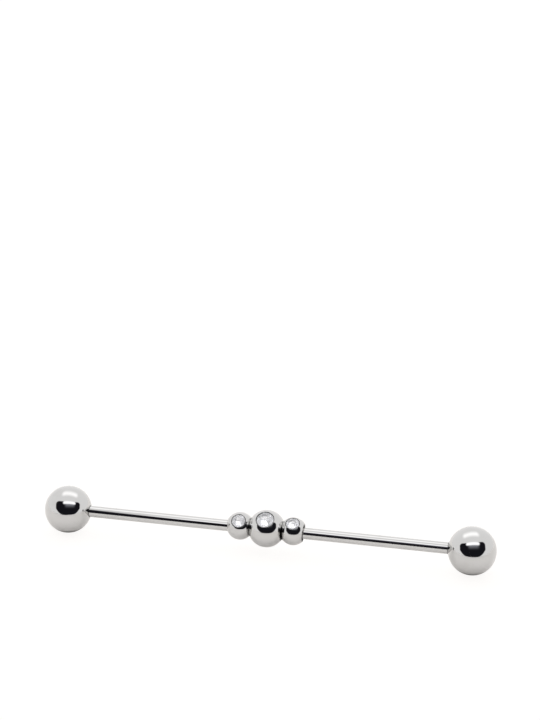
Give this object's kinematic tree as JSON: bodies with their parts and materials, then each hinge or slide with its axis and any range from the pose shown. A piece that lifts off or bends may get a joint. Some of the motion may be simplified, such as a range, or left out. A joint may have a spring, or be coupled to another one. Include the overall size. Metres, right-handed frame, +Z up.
{
  "type": "barbell earring",
  "caption": "Straight barbell earring in polished steel, with a ball on each end and a cluster of stone-set beads at the middle of its bar.",
  "frame": {"origin": "on the bar's axis, half way between the two end balls", "axes": "+X along the bar to the right end ball, +Z up from the surface it lies on, -Y to the front, where the stones lean"},
  "size_m": [0.048, 0.005, 0.005],
  "materials": {
    "bar_steel": "mirror-polished surgical steel, drawn and buffed along the bar",
    "ball_steel": "mirror-polished surgical steel",
    "bead_steel": "mirror-polished surgical steel",
    "clear_stone": "clear brilliant-cut stone"
  },
  "bodies": {
    "root": {"bar": "bar_steel", "ball_left": "ball_steel", "ball_right": "ball_steel", "bead_left": "bead_steel", "bead_middle": "bead_steel", "bead_right": "bead_steel", "stone_left": "clear_stone", "stone_middle": "clear_stone", "stone_right": "clear_stone"}
  },
  "joints": []
}
